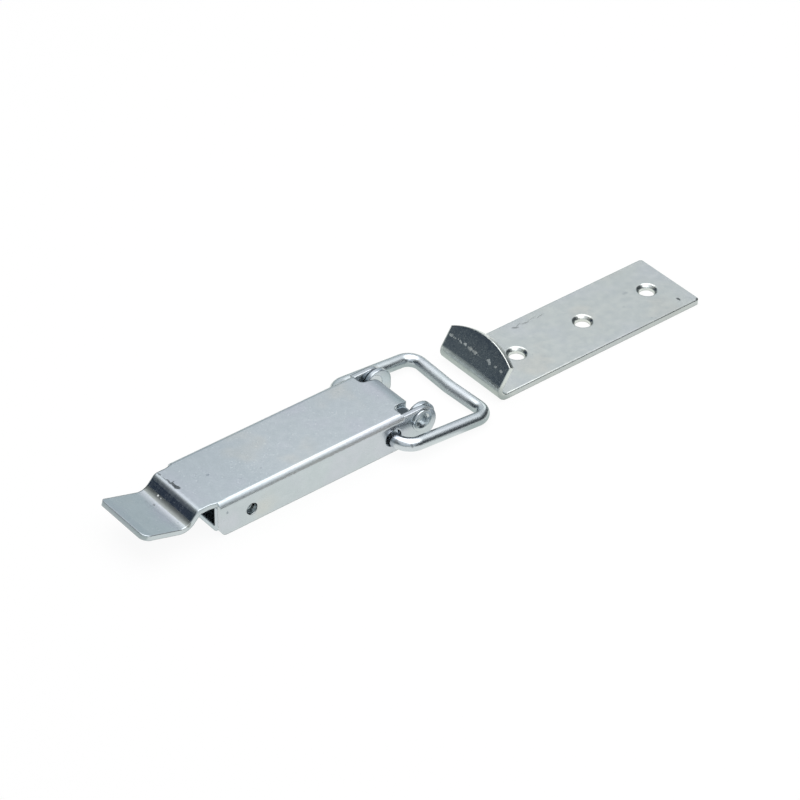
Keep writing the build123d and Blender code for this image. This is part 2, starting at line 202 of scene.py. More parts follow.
glow_strength = add_node(tree, "ShaderNodeMath", {"operation": "MULTIPLY"},
                         {0: white_to.outputs[0], 1: PAPER_GLOW})
glow = add_node(tree, "ShaderNodeEmission", None,
                {"Color": glow_colour.outputs[2], "Strength": glow_strength.outputs[0]})
sheet_shading = add_node(tree, "ShaderNodeBsdfDiffuse", None, {"Color": PAPER_COLOUR})
both = add_node(tree, "ShaderNodeAddShader", None, {0: glow.outputs[0], 1: sheet_shading.outputs[0]})
add_node(tree, "ShaderNodeOutputMaterial", None, {"Surface": both.outputs[0]})

print("the paper shows the camera", PAPER_GLOW, "of white before any light falls on it")

# %% [markdown]
# The sheet is one large square, laid a hair under the latch so that the two never touch. It isn't a
# piece of the object.

# %% Lay the table
TABLE_HALF_WIDTH = 6.0
TABLE_GAP = 0.02 * MM

table_mesh = bpy.data.meshes.new("studio_table")
table_corners = [(-1, -1), (1, -1), (1, 1), (-1, 1)]
table_mesh.from_pydata([(x * TABLE_HALF_WIDTH, y * TABLE_HALF_WIDTH, 0.0) for x, y in table_corners],
                       [], [(0, 1, 2, 3)])
table_mesh.materials.append(paper)
table = bpy.data.objects.new("studio_table", table_mesh)
table.location.z = cad_box[0].z - TABLE_GAP
scene.collection.objects.link(table)

print("table top in mm:", round(table.location.z / MM, 3))

# %% [markdown]
# Steel shows its surroundings more than its own colour, so the surroundings are half of the finish.
# A picture of a real studio could be wrapped round the scene. A wall made from a few numbers does the
# same and is easier to tune. It is pale and slightly blue for rays that mirror off the steel, plain
# white for the camera, and only a weak fill for everything else.
#
# In the mirror the wall darkens towards the horizon, so the tab, which tips back, comes out a shade
# darker than the lever's top. The low part of the wall is also a little greener than the high part, and
# the flat tops pick up that change.

# %% World
WALL_SEEN_IN_STEEL = linear("#F4F8FC")
LOW_WALL_SEEN_IN_STEEL = linear("#E9F6FA")
WALL_FILL = 0.25
WALL_AT_HORIZON = 0.10
WALL_AT_MIDDLE = 0.83
WALL_AT_TOP = 0.88
MIDDLE_ELEVATION = math.radians(15)
FULL_ELEVATION = math.radians(36)

world = bpy.data.worlds.new("pale_studio")
scene.world = world
world.use_nodes = True
tree = world.node_tree
tree.nodes.clear()
ray = add_node(tree, "ShaderNodeLightPath")
mirror_ray = add_node(tree, "ShaderNodeMath", {"operation": "MAXIMUM"},
                      {0: ray.outputs["Is Glossy Ray"], 1: ray.outputs["Is Transmission Ray"]})
fill_wall = add_node(tree, "ShaderNodeBackground", None, {"Color": (1, 1, 1, 1), "Strength": WALL_FILL})
toward = add_node(tree, "ShaderNodeTexCoord").outputs["Generated"]
upward = add_node(tree, "ShaderNodeSeparateXYZ", None, {0: toward}).outputs["Z"]
low_wall = add_node(tree, "ShaderNodeMapRange", None,
                    {"Value": upward, "From Min": 0.0, "From Max": math.sin(MIDDLE_ELEVATION),
                     "To Min": WALL_AT_HORIZON, "To Max": WALL_AT_MIDDLE})
high_wall = add_node(tree, "ShaderNodeMapRange", None,
                     {"Value": upward, "From Min": math.sin(MIDDLE_ELEVATION),
                      "From Max": math.sin(FULL_ELEVATION),
                      "To Min": 0.0, "To Max": WALL_AT_TOP - WALL_AT_MIDDLE})
wall_level = add_node(tree, "ShaderNodeMath", {"operation": "ADD"},
                      {0: low_wall.outputs[0], 1: high_wall.outputs[0]})
high_part = add_node(tree, "ShaderNodeMapRange", {"interpolation_type": "SMOOTHSTEP"},
                     {"Value": upward, "From Min": math.sin(MIDDLE_ELEVATION),
                      "From Max": math.sin(FULL_ELEVATION)})
wall_colour = add_node(tree, "ShaderNodeMix", {"data_type": "RGBA"},
                       {0: high_part.outputs[0], 6: LOW_WALL_SEEN_IN_STEEL, 7: WALL_SEEN_IN_STEEL})
steel_wall = add_node(tree, "ShaderNodeBackground", None,
                      {"Color": wall_colour.outputs[2], "Strength": wall_level.outputs[0]})
white_wall = add_node(tree, "ShaderNodeBackground", None, {"Color": (1, 1, 1, 1), "Strength": 1.0})
for_steel = add_node(tree, "ShaderNodeMixShader", None,
                     {0: mirror_ray.outputs[0], 1: fill_wall.outputs[0], 2: steel_wall.outputs[0]})
for_camera = add_node(tree, "ShaderNodeMixShader", None,
                      {0: ray.outputs["Is Camera Ray"], 1: for_steel.outputs[0], 2: white_wall.outputs[0]})
add_node(tree, "ShaderNodeOutputWorld", None, {"Surface": for_camera.outputs[0]})

print("the wall's brightness in the steel, horizon to top:", WALL_AT_HORIZON, WALL_AT_MIDDLE, WALL_AT_TOP)

# %% [markdown]
# A softbox hangs over the table, in line with the latch. Its edge decides where the white line on the
# lever's rounded top edge begins and ends. It stops short of what the lever's flat top mirrors, and of
# what the wire mirrors, because the wire slopes down by five degrees. One glowing panel could do all of
# it, but a lamp gives smoother light. So a lamp lights the object, and a panel is what the steel sees.

# %% Softbox
SOFTBOX_HEIGHT = 0.62
SOFTBOX_X_FROM = -0.34
SOFTBOX_X_TO = 0.49
SOFTBOX_Y_FROM = -0.66
SOFTBOX_Y_TO = 0.52
LAMP_BRIGHTNESS = 1.9

softbox_width = SOFTBOX_X_TO - SOFTBOX_X_FROM
softbox_depth = SOFTBOX_Y_TO - SOFTBOX_Y_FROM
softbox_data = bpy.data.lights.new("softbox", "AREA")
softbox_data.shape = "RECTANGLE"
softbox_data.size = softbox_width
softbox_data.size_y = softbox_depth
softbox_data.energy = LAMP_BRIGHTNESS * math.pi * softbox_width * softbox_depth
softbox = bpy.data.objects.new("softbox", softbox_data)
softbox.location = studio_middle + Vector(((SOFTBOX_X_FROM + SOFTBOX_X_TO) / 2,
                                           (SOFTBOX_Y_FROM + SOFTBOX_Y_TO) / 2, SOFTBOX_HEIGHT))
softbox.visible_camera = False
softbox.visible_glossy = False
scene.collection.objects.link(softbox)

print("softbox power in watts:", round(softbox_data.energy, 2))

# %% [markdown]
# The softbox's face is a glowing panel in the lamp's place. It shows in mirrors only: the camera, the
# shadows and the plain light don't know of it. Its rim fades out, as the cloth of a real softbox does.

# %% Face of the softbox
SOFTBOX_BRIGHTNESS = 2.5
SOFTBOX_FADE = 0.10


def only_for_steel(name, corners, material):
    """A flat panel of the studio that shows in mirrors only."""
    mesh = bpy.data.meshes.new(name)
    mesh.from_pydata(corners, [], [(0, 1, 2, 3)])
    mesh.materials.append(material)
    panel = bpy.data.objects.new(name, mesh)
    panel.visible_camera = False
    panel.visible_diffuse = False
    panel.visible_shadow = False
    scene.collection.objects.link(panel)
    return panel


panel_glow = bpy.data.materials.new("softbox_face")
panel_glow.use_nodes = True
tree = panel_glow.node_tree
tree.nodes.clear()
across = add_node(tree, "ShaderNodeSeparateXYZ", None,
                  {0: add_node(tree, "ShaderNodeTexCoord").outputs["Generated"]})
inside_rim = add_node(tree, "ShaderNodeMath", {"operation": "MULTIPLY"},
                      {0: band(tree, across.outputs["X"], 0.0, 1.0, SOFTBOX_FADE),
                       1: band(tree, across.outputs["Y"], 0.0, 1.0, SOFTBOX_FADE)})
clear = add_node(tree, "ShaderNodeBsdfTransparent")
bright = add_node(tree, "ShaderNodeEmission", None, {"Strength": SOFTBOX_BRIGHTNESS})
mixed = add_node(tree, "ShaderNodeMixShader", None,
                 {0: inside_rim.outputs[0], 1: clear.outputs[0], 2: bright.outputs[0]})
add_node(tree, "ShaderNodeOutputMaterial", None, {"Surface": mixed.outputs[0]})
only_for_steel("softbox_panel", [
    studio_middle + Vector((x, y, SOFTBOX_HEIGHT))
    for x, y in ((SOFTBOX_X_FROM, SOFTBOX_Y_FROM), (SOFTBOX_X_TO, SOFTBOX_Y_FROM),
                 (SOFTBOX_X_TO, SOFTBOX_Y_TO), (SOFTBOX_X_FROM, SOFTBOX_Y_TO))
], panel_glow)

print("the softbox's face is", round(softbox_width, 2), "by", round(softbox_depth, 2), "m")

# %% [markdown]
# Photographers stand dark cards beside shiny metal. The left card's picture gives the step behind the
# lever and the face of the hook their navy tone, and its olive upper part gives the grey band in the
# valley of the tab. The right card draws the dark line along the wire and under the lever's white edge.
#
# A real card is as light as what falls on it. These glow by themselves, each height with the tone that
# the steel should show, so no lamp can change them.

# %% Sizes and tones of the dark cards
CARD_DISTANCE = 0.60
CARD_HEIGHT = 0.85
CARD_NEAR_END = -0.95
CARD_FAR_END = 0.95
CARD_END_FADE = 0.12

LEFT_CARD_TONES = [
    (0.000, "#C8D0CC", 1.0),
    (0.055, "#B0BAB8", 1.0),
    (0.10, "#8A969A", 1.0),
    (0.15, "#1A2A42", 1.0),
    (0.20, "#182840", 1.0),
    (0.34, "#2C3A48", 1.0),
    (0.47, "#868A84", 0.9),
    (0.66, "#9A9C96", 0.7),
    (0.80, "#B0B2AE", 0.0),
]
RIGHT_CARD_TONES = [
    (0.00, "#4A5055", 1.0),
    (0.30, "#3C4247", 1.0),
    (0.50, "#70767A", 0.9),
    (0.70, "#9A9FA2", 0.6),
    (0.85, "#B8BCBE", 0.0),
]

print("tones on the left and the right card:", len(LEFT_CARD_TONES), "and", len(RIGHT_CARD_TONES))

# %% [markdown]
# Each card is one upright panel. A colour ramp runs up it, and the ramp's alpha lets the card fade out at
# its top. Its two ends fade like the softbox's rim, because a hard end would draw a line on the steel.

# %% Stand the cards beside the latch
def dark_card(name, side, tones):
    """A card that stands on the table; tones are (height in metres, colour, how solid it is)."""
    material = bpy.data.materials.new(name)
    material.use_nodes = True
    tree = material.node_tree
    tree.nodes.clear()
    across = add_node(tree, "ShaderNodeSeparateXYZ", None,
                      {0: add_node(tree, "ShaderNodeTexCoord").outputs["Generated"]})
    ramp = add_node(tree, "ShaderNodeValToRGB", None, {0: across.outputs["Z"]})
    stops = ramp.color_ramp.elements
    while len(stops) < len(tones):
        stops.new(0.5)
    for stop, (height, colour, solid) in zip(stops, tones):
        stop.position = height / CARD_HEIGHT
        stop.color = (*linear(colour)[:3], solid)
    solid_part = add_node(tree, "ShaderNodeMath", {"operation": "MULTIPLY"},
                          {0: band(tree, across.outputs["Y"], 0.0, 1.0, CARD_END_FADE),
                           1: ramp.outputs["Alpha"]})
    clear = add_node(tree, "ShaderNodeBsdfTransparent")
    face = add_node(tree, "ShaderNodeEmission", None, {"Color": ramp.outputs["Color"]})
    mixed = add_node(tree, "ShaderNodeMixShader", None,
                     {0: solid_part.outputs[0], 1: clear.outputs[0], 2: face.outputs[0]})
    add_node(tree, "ShaderNodeOutputMaterial", None, {"Surface": mixed.outputs[0]})
    corners = [studio_place(side, CARD_NEAR_END, 0.0), studio_place(side, CARD_FAR_END, 0.0),
               studio_place(side, CARD_FAR_END, CARD_HEIGHT), studio_place(side, CARD_NEAR_END, CARD_HEIGHT)]
    only_for_steel(name, corners, material)
    print(name, "is", CARD_FAR_END - CARD_NEAR_END, "m long and", CARD_HEIGHT, "m high")


dark_card("left_card", -CARD_DISTANCE, LEFT_CARD_TONES)
dark_card("right_card", CARD_DISTANCE, RIGHT_CARD_TONES)

# %% [markdown]
# Zinc-plated steel is cold-rolled sheet, pressed to shape and then dipped in a plating bath. A last dip
# leaves a film a few ten-thousandths of a millimetre thick. It gives the grey metal a cool blue tone,
# with faint lilac and straw-coloured clouds where the film is thicker. Under it the metal keeps fine
# rolling lines and an orange-peel grain, which blur its reflections.
#
# Each pattern's scale comes from a real size. The lines, the grain and the frosted patches are nearer
# a tenth of a millimetre on the real steel. They are drawn coarser here, because at that size they would
# be lost between the pixels of the picture.

# %% Real sizes of the steel's patterns
CLOUD_MM = 16.0
MOTTLE_MM = 2.6
SPECK_SPACING_MM = 5.5
GRAIN_MM = 0.45
FROST_MM = 0.55
ROLLING_LINE_MM = 0.35
ROLLING_LINE_LENGTH_MM = 14.0
STREAK_MM = 1.3


def per_metre(size_mm):
    """The noise scale that makes one feature about as large as a size in millimetres."""
    return 1.0 / (size_mm * MM)


print("a cloud of tint is", CLOUD_MM, "mm wide, which is a noise scale of", round(per_metre(CLOUD_MM), 1))

# %% [markdown]
# The finish is built up in layers, as on the real thing: tint, dull places, wear, and then the grain of
# the surface. Most layers are a mask, which is 1 where the layer shows and 0 elsewhere, and one colour
# laid over another through that mask.

# %% Lay one colour over another
def lay_over(tree, under, over, mask, strength=1.0):
    """One colour laid over another where the mask is 1."""
    factor = add_node(tree, "ShaderNodeMath", {"operation": "MULTIPLY"}, {0: mask, 1: strength})
    mixed = add_node(tree, "ShaderNodeMix", {"data_type": "RGBA"},
                     {0: factor.outputs[0], 6: under, 7: over})
    return mixed.outputs[2]


# %% [markdown]
# The tint is the plating's film. Blender's shader can work out the colours of a thin film, but they come
# out far stronger than these faint clouds, so three plain tones are mixed instead. One large noise gives
# both kinds of cloud: lilac where it is high and straw where it is low, with plain film between them.
# A sparse pattern of cells gives the pinhead specks that every plated sheet has, and a finer mottle of
# grey lies over it all.

# %% Tint of the plating
LILAC_FROM, LILAC_TO = 0.48, 0.66
STRAW_FROM, STRAW_TO = 0.44, 0.30
CLOUD_STRENGTH = 0.6
PINHEAD_COLOUR = "#7E868C"
PINHEAD_STRENGTH = 0.45
PINHEAD_INSIDE, PINHEAD_OUTSIDE = 0.03, 0.05
MOTTLE_COLOUR = "#ADB6BA"
MOTTLE_STRENGTH = 0.34
MOTTLE_FROM, MOTTLE_TO = 0.25, 0.75


def plating_tint(tree, place, tones):
    """The film's colour; tones are plain, lilac and straw."""
    plain, lilac, straw = [linear(tone) for tone in tones]
    cloud = add_node(tree, "ShaderNodeTexNoise", None,
                     {"Vector": place, "Scale": per_metre(CLOUD_MM), "Detail": 2.0, "Roughness": 0.45})
    lilac_part = add_node(tree, "ShaderNodeMapRange", {"interpolation_type": "SMOOTHSTEP"},
                          {"Value": cloud.outputs[0], "From Min": LILAC_FROM, "From Max": LILAC_TO})
    straw_part = add_node(tree, "ShaderNodeMapRange", {"interpolation_type": "SMOOTHSTEP"},
                          {"Value": cloud.outputs[0], "From Min": STRAW_FROM, "From Max": STRAW_TO})
    colour = lay_over(tree, plain, lilac, lilac_part.outputs[0], CLOUD_STRENGTH)
    colour = lay_over(tree, colour, straw, straw_part.outputs[0], CLOUD_STRENGTH)

    cells = add_node(tree, "ShaderNodeTexVoronoi", None,
                     {"Vector": place, "Scale": per_metre(SPECK_SPACING_MM)})
    pinhead = add_node(tree, "ShaderNodeMapRange", None,
                       {"Value": cells.outputs["Distance"], "From Min": PINHEAD_INSIDE,
                        "From Max": PINHEAD_OUTSIDE, "To Min": 1.0, "To Max": 0.0})
    colour = lay_over(tree, colour, linear(PINHEAD_COLOUR), pinhead.outputs[0], PINHEAD_STRENGTH)

    mottle = add_node(tree, "ShaderNodeTexNoise", None,
                      {"Vector": place, "Scale": per_metre(MOTTLE_MM), "Detail": 2.0, "Roughness": 0.5})
    mottle_part = add_node(tree, "ShaderNodeMapRange", None,
                           {"Value": mottle.outputs[0], "From Min": MOTTLE_FROM, "From Max": MOTTLE_TO})
    return lay_over(tree, colour, linear(MOTTLE_COLOUR), mottle_part.outputs[0], MOTTLE_STRENGTH)


# %% [markdown]
# How dull the steel is decides how blurred the studio looks in it. The plating is frosted in small
# patches, which a noise of their size picks out.

# %% Frosted patches
FROST_FROM, FROST_TO = 0.52, 0.72


def frosted(tree, place, roughness, frost):
    """The steel's own roughness, with more of it in small frosted patches."""
    patches = add_node(tree, "ShaderNodeTexNoise", None,
                       {"Vector": place, "Scale": per_metre(FROST_MM), "Detail": 2.0})
    patch_part = add_node(tree, "ShaderNodeMapRange", None,
                          {"Value": patches.outputs[0], "From Min": FROST_FROM, "From Max": FROST_TO,
                           "To Min": roughness, "To Max": roughness + frost})
    return patch_part.outputs[0]


# %% [markdown]
# Two things on the lever are duller still: the long bends, where the sheet was stretched over the tool,
# and the step of the tab, where the press drew streaks down the metal. They could be painted by hand.
# But a bend is where the surface faces partly up and partly to the side, and the step lies between two
# places along x, so sums can find both.

# %% Bends and drawn streaks
BEND_FROM, BEND_TO = 0.25, 0.48
STREAK_FROM, STREAK_TO = 0.42, 0.72
STREAK_DULLNESS = 0.05
DRAWN_EDGE = 0.6 * MM


def dull_bends(tree, dullness, added_dullness):
    """Adds dullness on the long bends, which face partly up and partly to the side."""
    facing = add_node(tree, "ShaderNodeSeparateXYZ", None,
                      {0: add_node(tree, "ShaderNodeTexCoord").outputs["Normal"]})
    slant = add_node(tree, "ShaderNodeMath", {"operation": "MULTIPLY"},
                     {0: facing.outputs["Y"], 1: facing.outputs["Z"]})
    on_bend = add_node(tree, "ShaderNodeMath", {"operation": "ABSOLUTE"}, {0: slant.outputs[0]})
    bend_part = add_node(tree, "ShaderNodeMapRange", {"interpolation_type": "SMOOTHSTEP"},
                         {"Value": on_bend.outputs[0], "From Min": BEND_FROM, "From Max": BEND_TO})
    total = add_node(tree, "ShaderNodeMath", {"operation": "MULTIPLY_ADD"},
                     {0: bend_part.outputs[0], 1: added_dullness, 2: dullness})
    return total.outputs[0]


def drawn_streaks(tree, place, dullness, start_mm, end_mm):
    """Adds streaks along x, between two places on it. Their noise changes with y only."""
    along = add_node(tree, "ShaderNodeSeparateXYZ", None, {0: place})
    drawn_part = band(tree, along.outputs["X"], start_mm * MM, end_mm * MM, DRAWN_EDGE)
    streaks = add_node(tree, "ShaderNodeTexNoise", {"noise_dimensions": "1D"},
                       {"W": along.outputs["Y"], "Scale": per_metre(STREAK_MM), "Detail": 3.0})
    streak_part = add_node(tree, "ShaderNodeMapRange", {"interpolation_type": "SMOOTHSTEP"},
                           {"Value": streaks.outputs[0], "From Min": STREAK_FROM, "From Max": STREAK_TO})
    here = add_node(tree, "ShaderNodeMath", {"operation": "MULTIPLY"},
                    {0: drawn_part, 1: streak_part.outputs[0]})
    total = add_node(tree, "ShaderNodeMath", {"operation": "MULTIPLY_ADD"},
                     {0: here.outputs[0], 1: STREAK_DULLNESS, 2: dullness})
    return total.outputs[0]


# %% [markdown]
# A mark is a small patch of the surface with its own colour and dullness: a scuff, a speck, a scratch,
# or a patch of painted shade.
# Marks could be painted on a picture and wrapped round the piece. An oval with a frayed rim needs no
# picture and can be placed with a ruler. Mapping turns the place round the mark into a ball of radius 1,
# some noise frays that ball's rim, and Map Range gives 1 inside and 0 outside. Places are read in the
# model's own millimetres, so a mark stays where it is when a piece swings.

# %% Marks in the plating
MARK_INSIDE = 0.75
MARK_OUTSIDE = 1.15


def mark(colour, strength, dullness, centre_mm, half_sizes_mm, **rim):
    """One mark on a list. rim may hold turn_deg, fray, fray_mm and seed."""
    return {"colour": colour, "strength": strength, "dullness": dullness,
            "shape": {"centre_mm": centre_mm, "half_sizes_mm": half_sizes_mm, **rim}}


def mark_mask(tree, place, centre_mm, half_sizes_mm, turn_deg=0.0, fray=0.5, fray_mm=0.5, seed=0.0):
    """1 inside a frayed oval round the centre, and 0 outside it."""
    local = add_node(tree, "ShaderNodeMapping", {"vector_type": "TEXTURE"}, {
        "Vector": place,
        "Location": Vector(centre_mm) * MM,
        "Rotation": (0.0, 0.0, math.radians(turn_deg)),
        "Scale": Vector(half_sizes_mm) * MM,
    })
    shifted = add_node(tree, "ShaderNodeVectorMath", {"operation": "ADD"},
                       {0: place, 1: (seed, seed, seed)})
    rough = add_node(tree, "ShaderNodeTexNoise", None,
                     {"Vector": shifted.outputs[0], "Scale": per_metre(fray_mm), "Detail": 3.0})
    distance = add_node(tree, "ShaderNodeVectorMath", {"operation": "LENGTH"}, {0: local.outputs[0]})
    frayed = add_node(tree, "ShaderNodeMath", {"operation": "MULTIPLY_ADD"},
                      {0: rough.outputs[0], 1: fray * 2.0, 2: distance.outputs["Value"]})
    ramp = add_node(tree, "ShaderNodeMapRange", {"interpolation_type": "SMOOTHSTEP"},
                    {"Value": frayed.outputs[0], "From Min": MARK_INSIDE + fray,
                     "From Max": MARK_OUTSIDE + fray, "To Min": 1.0, "To Max": 0.0})
    return ramp.outputs[0]


# %% [markdown]
# The grain is only a trace of unevenness. As real shape it would need millions of faces, so it is made as
# bump: it tilts the mirror and leaves the mesh alone. A Bevel node comes first, for the same reason. It
# rounds the cut edges by a little over half a millimetre, which is what tumbling in the plating drum
# does to them.

# %% Grain and rounded edges
EDGE_ROUNDING_MM = 0.60
EDGE_SAMPLES = 8
PEEL_HEIGHT = 0.02 * MM
ROLLING_LINE_HEIGHT = 0.002 * MM


def steel_surface(tree, place, grain, rounding_mm):
    """The surface's direction, with rounded edges, orange peel and rolling lines."""
    stretched = add_node(tree, "ShaderNodeMapping", None, {
        "Vector": place,
        "Scale": (per_metre(ROLLING_LINE_LENGTH_MM), per_metre(ROLLING_LINE_MM), per_metre(ROLLING_LINE_MM)),
    })
    lines = add_node(tree, "ShaderNodeTexNoise", None,
                     {"Vector": stretched.outputs[0], "Scale": 1.0, "Detail": 2.0})
    peel = add_node(tree, "ShaderNodeTexNoise", None,
                    {"Vector": place, "Scale": per_metre(GRAIN_MM), "Detail": 3.0})
    rounded = add_node(tree, "ShaderNodeBevel", {"samples": EDGE_SAMPLES}, {"Radius": rounding_mm * MM})
    peel_bump = add_node(tree, "ShaderNodeBump", None,
                         {"Height": peel.outputs[0], "Strength": grain, "Distance": PEEL_HEIGHT,
                          "Normal": rounded.outputs[0]})
    line_bump = add_node(tree, "ShaderNodeBump", None,
                         {"Height": lines.outputs[0], "Strength": grain, "Distance": ROLLING_LINE_HEIGHT,
                          "Normal": peel_bump.outputs[0]})
    return line_bump.outputs[0]


# %% [markdown]
# Now the layers come together. Each piece gets its own copy of the finish, because the sheet is satin,
# the wire is brighter, and every piece carries its own marks. Metals keep Blender's default IOR: the
# base colour is their reflectance.

# %% Zinc-plated steel
def zinc_plated_steel(name, tones, roughness, grain, frost, bend_dullness=0.0, drawn_mm=None,
                      rounding_mm=EDGE_ROUNDING_MM, marks=()):
    """The finish of one piece. drawn_mm is where its drawn streaks start and end along x."""
    material = bpy.data.materials.new(name)
    material.use_nodes = True
    tree = material.node_tree
    tree.nodes.clear()
    place = add_node(tree, "ShaderNodeTexCoord").outputs["Object"]

    colour = plating_tint(tree, place, tones)
    dullness = frosted(tree, place, roughness, frost)
    if bend_dullness:
        dullness = dull_bends(tree, dullness, bend_dullness)
    if drawn_mm:
        dullness = drawn_streaks(tree, place, dullness, *drawn_mm)
    for one_mark in marks:
        mask = mark_mask(tree, place, **one_mark["shape"])
        colour = lay_over(tree, colour, linear(one_mark["colour"]), mask, one_mark["strength"])
        dullness = add_node(tree, "ShaderNodeMath", {"operation": "MULTIPLY_ADD"},
                            {0: mask, 1: one_mark["dullness"], 2: dullness}).outputs[0]

    steel = add_node(tree, "ShaderNodeBsdfPrincipled", None,
                     {"Base Color": colour, "Metallic": 1.0, "Roughness": dullness,
                      "Normal": steel_surface(tree, place, grain, rounding_mm)})
    add_node(tree, "ShaderNodeOutputMaterial", None, {"Surface": steel.outputs[0]})
    print(name, "has", len(tree.nodes), "nodes and", len(marks), "marks")
    return material


# %% [markdown]
# The lever's marks, as the photograph shows them: a dark scuff along the top of the step where the blank
# was bent, a few specks on its top and flange, a rubbed line under the near edge, and two bright nicks in
# the valley behind the step. The rear of the top is a trace darker with painted shade, so that mark comes
# first and the others lie over it. The valley and the face of the step were dulled by the press, and the
# valley also carries a band of painted shade.

# %% Lever
SCUFF = "#4A4F52"
SPECK = "#7C858E"
NICK = "#F4F6F6"
VALLEY_PAINTED_SHADE = "#7C8078"
REAR_PAINTED_SHADE = "#9AA8B0"
RUBBED = "#ACA9A4"
LEVER_TONES = ("#BEC5C9", "#C1C3CC", "#C8C8C3")
LEVER_MARKS = [
    # painted shade over the rear of the top
    mark(REAR_PAINTED_SHADE, 0.22, 0.0, (-46.0, 0.0, 10.8), (30.0, 60.0, 0.9), fray=0.2, fray_mm=9, seed=15),
    # the scuff along the top of the step
    mark(SCUFF, 0.95, 0.2, (-39.3, 1.5, 10.8), (0.65, 1.2, 1.0), turn_deg=14, seed=1),
    mark(SCUFF, 0.90, 0.2, (-39.35, 2.9, 10.8), (0.5, 1.1, 1.0), turn_deg=-8, seed=2),
    mark(SCUFF, 0.80, 0.2, (-39.6, 4.5, 10.8), (0.34, 1.3, 1.0), turn_deg=-9, seed=3),
    mark(SCUFF, 0.70, 0.2, (-38.9, 3.9, 10.8), (0.7, 0.22, 1.0), turn_deg=12, seed=4),
    mark(SCUFF, 0.55, 0.2, (-39.75, 6.4, 10.8), (0.18, 1.2, 1.0), seed=5),
    mark(SCUFF, 0.75, 0.2, (-39.75, 8.7, 10.8), (0.28, 0.7, 1.0), seed=6),
    # the rubbed line, and the specks
    mark(RUBBED, 0.40, 0.26, (6.0, -11.5, 9.8), (30.0, 0.5, 0.42), fray=1.3, fray_mm=0.35, seed=16),
    mark(SPECK, 0.70, 0.1, (-29.9, 0.7, 10.8), (0.5, 0.4, 1.0), seed=7),
    mark(SPECK, 0.25, 0.1, (-33.1, 2.7, 10.8), (0.6, 0.5, 1.0), seed=8),
    mark(SCUFF, 0.60, 0.1, (-45.8, 2.9, 7.2), (0.35, 0.4, 1.0), seed=9),
    mark(SPECK, 0.60, 0.1, (-32.8, -11.75, 7.5), (0.35, 0.5, 0.5), seed=10),
    # the valley's painted shade and dullness, the face of the step, and the two nicks
    mark(VALLEY_PAINTED_SHADE, 0.62, 0.16, (-43.75, 0.0, 7.8), (0.95, 18.0, 1.3), fray=0.1, seed=13),
    mark(SCUFF, 0.0, 0.10, (-40.8, 0.0, 10.2), (0.9, 18.0, 1.2), fray=0.1, seed=14),
    mark(NICK, 0.80, 0.4, (-43.2, 4.6, 8.0), (0.30, 0.34, 0.5), fray=0.35, seed=11),
    mark(NICK, 0.50, 0.3, (-43.3, 3.2, 7.9), (0.2, 0.25, 0.4), fray=0.3, seed=12),
]
lever_steel = zinc_plated_steel("zinc_plated_steel_lever", LEVER_TONES, roughness=0.22, grain=0.10,
                                frost=0.055, bend_dullness=0.31, drawn_mm=(-44.5, -38.9),
                                marks=LEVER_MARKS)

# %% [markdown]
# The base plate is the same sheet. Little of it shows, only its ears in front and its tail under the tab.
# Beside the near ear one looks down through a notch into the shade under the lever. Moving a lamp until
# that place is dark would change the whole picture, so painted shade on the base's floor there gives
# the depth.

# %% Base plate
BASE_TONES = ("#B8C2C8", "#BBC0C8", "#C0C2BF")
BASE_FLOOR_PAINTED_SHADE = "#222C34"
BASE_MARKS = [
    # painted shade on the base's floor beside the near ear
    mark(BASE_FLOOR_PAINTED_SHADE, 0.90, 0.3, (35.2, -0.5, 1.5), (1.5, 2.4, 0.6), fray=0.2, seed=71),
]
base_steel = zinc_plated_steel("zinc_plated_steel_base", BASE_TONES, roughness=0.22, grain=0.10, frost=0.05,
                               marks=BASE_MARKS)

# %% [markdown]
# Drawn wire comes out of its die smoother than sheet, so it mirrors the studio in clear bands. Its end
# bar is duller than its sides, as if it had been rubbed, and the bend by the near ear has two small dark
# marks.
# A second material on the bar would meet the first in a hard line, so the dull bar is a mark as well.

# %% Wire bail
WIRE_TONES = ("#C6CDD0", "#C6CAD1", "#CCCCC8")
WIRE_MARKS = [
    mark(WIRE_TONES[0], 0.0, 0.22, (50.5, 0.0, 2.0), (5.0, 11.5, 6.0), fray=0.1, seed=61),
    mark(SCUFF, 0.50, 0.1, (24.5, -17.5, 5.4), (0.25, 0.5, 1.2), turn_deg=30, seed=62),
    mark(SCUFF, 0.45, 0.2, (22.0, -14.0, 5.8), (0.5, 0.6, 0.8), seed=63),
]
wire_steel = zinc_plated_steel("zinc_plated_wire", WIRE_TONES, roughness=0.25, grain=0.06, frost=0.04,
                               marks=WIRE_MARKS)

# %% [markdown]
# The rivets are turned and pressed, and their edges are crisper than those of the sheet. Rings could be
# drawn on their heads, but a round head mirrors the studio in rings by itself. So they take the wire's
# tones, with less rounding of the edges.

# %% Rivets
rivet_steel = zinc_plated_steel("zinc_plated_rivet", WIRE_TONES, roughness=0.20, grain=0.08, frost=0.05,
                                rounding_mm=0.15)

# %% [markdown]
# The keeper is thicker strip with a more neutral tone. Its cut edges are rough, so they look greyer, along
# the strip and over the hook's arch. Faint scuffs lie near the far edge, a short dark tick near the end
# hole, and one corner is dark. The bend at the foot of the hook is dulled. The cut edges could have a
# material of their own, but long thin marks along them leave the CAD piece's slots as they are.

